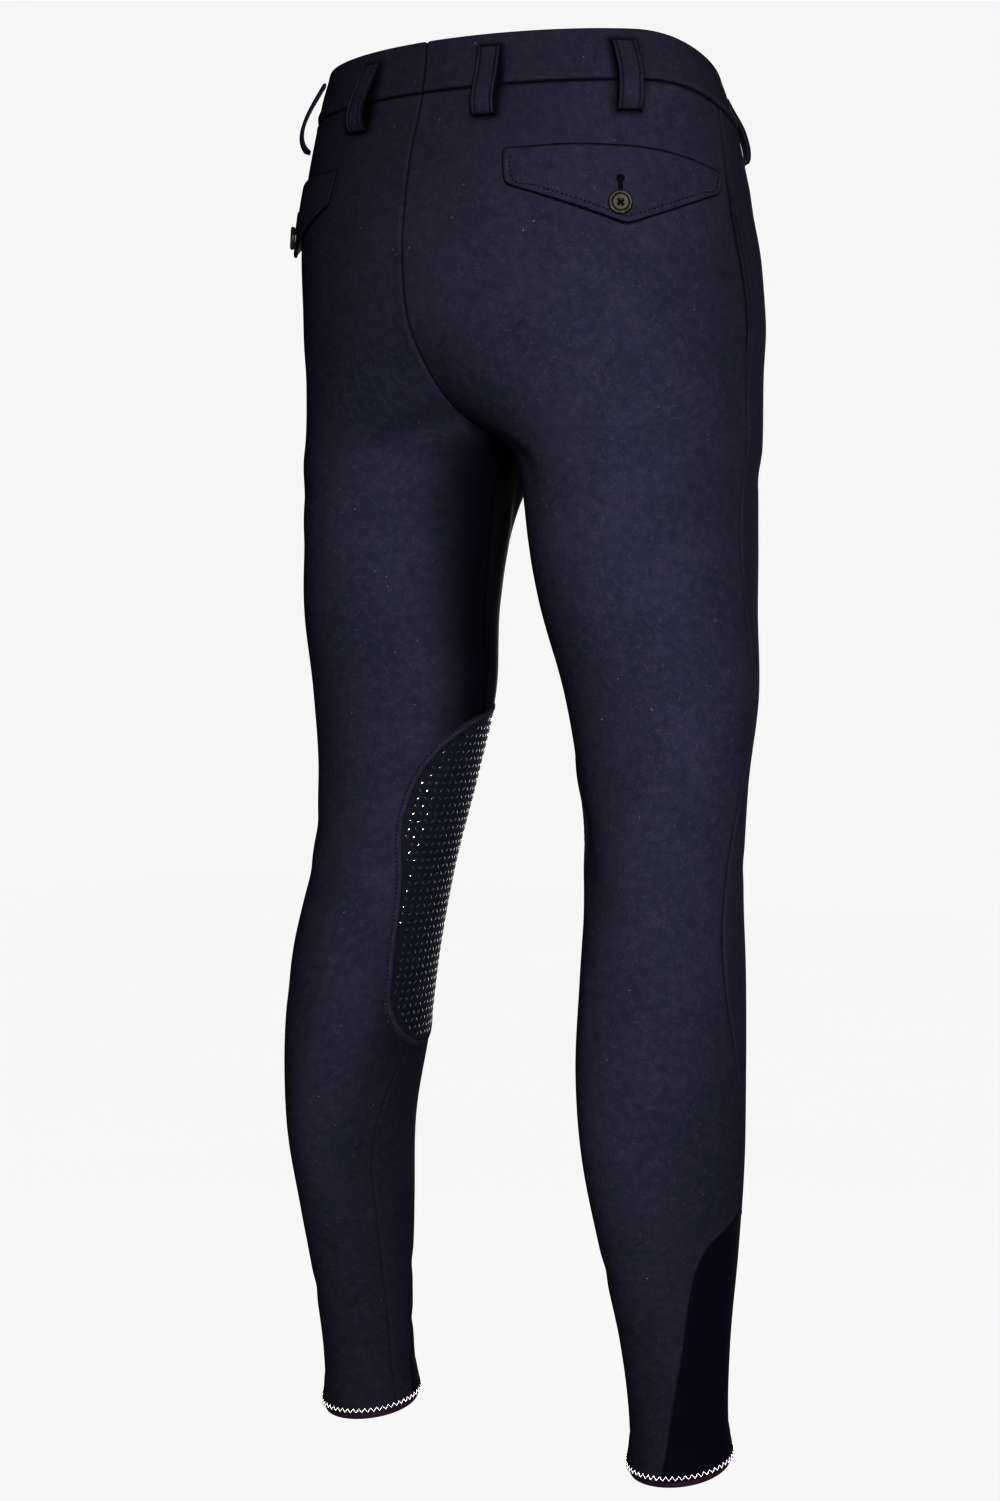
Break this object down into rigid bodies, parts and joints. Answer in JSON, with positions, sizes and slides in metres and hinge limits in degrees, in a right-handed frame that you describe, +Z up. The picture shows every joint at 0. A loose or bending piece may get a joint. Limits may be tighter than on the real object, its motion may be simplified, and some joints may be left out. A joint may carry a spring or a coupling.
{
  "type": "riding breeches",
  "caption": "Close-fitting riding breeches, hollow as worn, with belt loops, pointed seat pocket flaps, grip knee patches and smooth elastic ankle panels.",
  "frame": {"origin": "middle of the waist, half way up the waistband, where the wearer holds the garment", "axes": "+X to the wearer's left, +Y to the back, +Z up towards the waist"},
  "size_m": [0.3551, 0.24, 0.9329],
  "materials": {
    "cloth": "smooth brushed stretch cloth, midnight blue",
    "trim": "the same cloth doubled, edge stitched",
    "elastic": "smooth matt elastic, nearly black",
    "grip": "dark cloth with raised pale rubber dashes",
    "tape": "soft grip tape, dark plum",
    "button": "polished dark grey with streaks"
  },
  "bodies": {
    "root": {"back_left": "cloth", "back_right": "cloth", "front_left": "cloth", "front_right": "cloth", "waistband_left": "cloth", "waistband_right": "cloth", "fly": "cloth", "ankle_panel_left": "elastic", "ankle_panel_right": "elastic", "knee_patch_left": "grip", "knee_patch_right": "grip", "pocket_flap_left": "trim", "pocket_flap_right": "trim", "belt_loop_back_left": "trim", "belt_loop_back_right": "trim", "belt_loop_side_left": "trim", "belt_loop_side_right": "trim", "belt_loop_front_left": "trim", "belt_loop_front_right": "trim", "hem_tape_left": "tape", "hem_tape_right": "tape", "flap_button_left": "button", "flap_button_right": "button", "waist_button": "button"}
  },
  "joints": []
}
